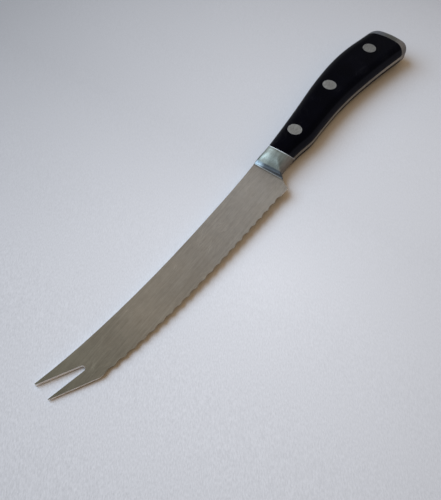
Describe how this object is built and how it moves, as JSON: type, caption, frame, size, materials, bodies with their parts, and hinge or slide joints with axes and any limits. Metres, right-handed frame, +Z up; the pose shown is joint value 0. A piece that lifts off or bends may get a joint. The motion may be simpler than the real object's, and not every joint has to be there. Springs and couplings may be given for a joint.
{
  "type": "tomato knife",
  "caption": "Forged tomato knife with a serrated, fork-tipped blade, steel bolsters at both ends of the handle and riveted black handle scales.",
  "frame": {"origin": "under the middle of the knife's outline, at the level of the handle's lowest side, with the knife lying on its right side", "axes": "+X from the forked tip to the butt, +Y from the cutting edge to the spine, +Z up out of the blade's left side"},
  "size_m": [0.257, 0.0292, 0.012],
  "materials": {
    "blade_steel": "satin, ground lengthwise",
    "handle_scale": "smooth, near black, soft gloss",
    "rivet_steel": "ground flush, matt"
  },
  "bodies": {
    "root": {"forged_blade": "blade_steel", "left_scale": "handle_scale", "right_scale": "handle_scale", "front_rivet_post": "rivet_steel", "front_rivet_sleeve": "rivet_steel", "middle_rivet_post": "rivet_steel", "middle_rivet_sleeve": "rivet_steel", "rear_rivet_post": "rivet_steel", "rear_rivet_sleeve": "rivet_steel"}
  },
  "joints": []
}
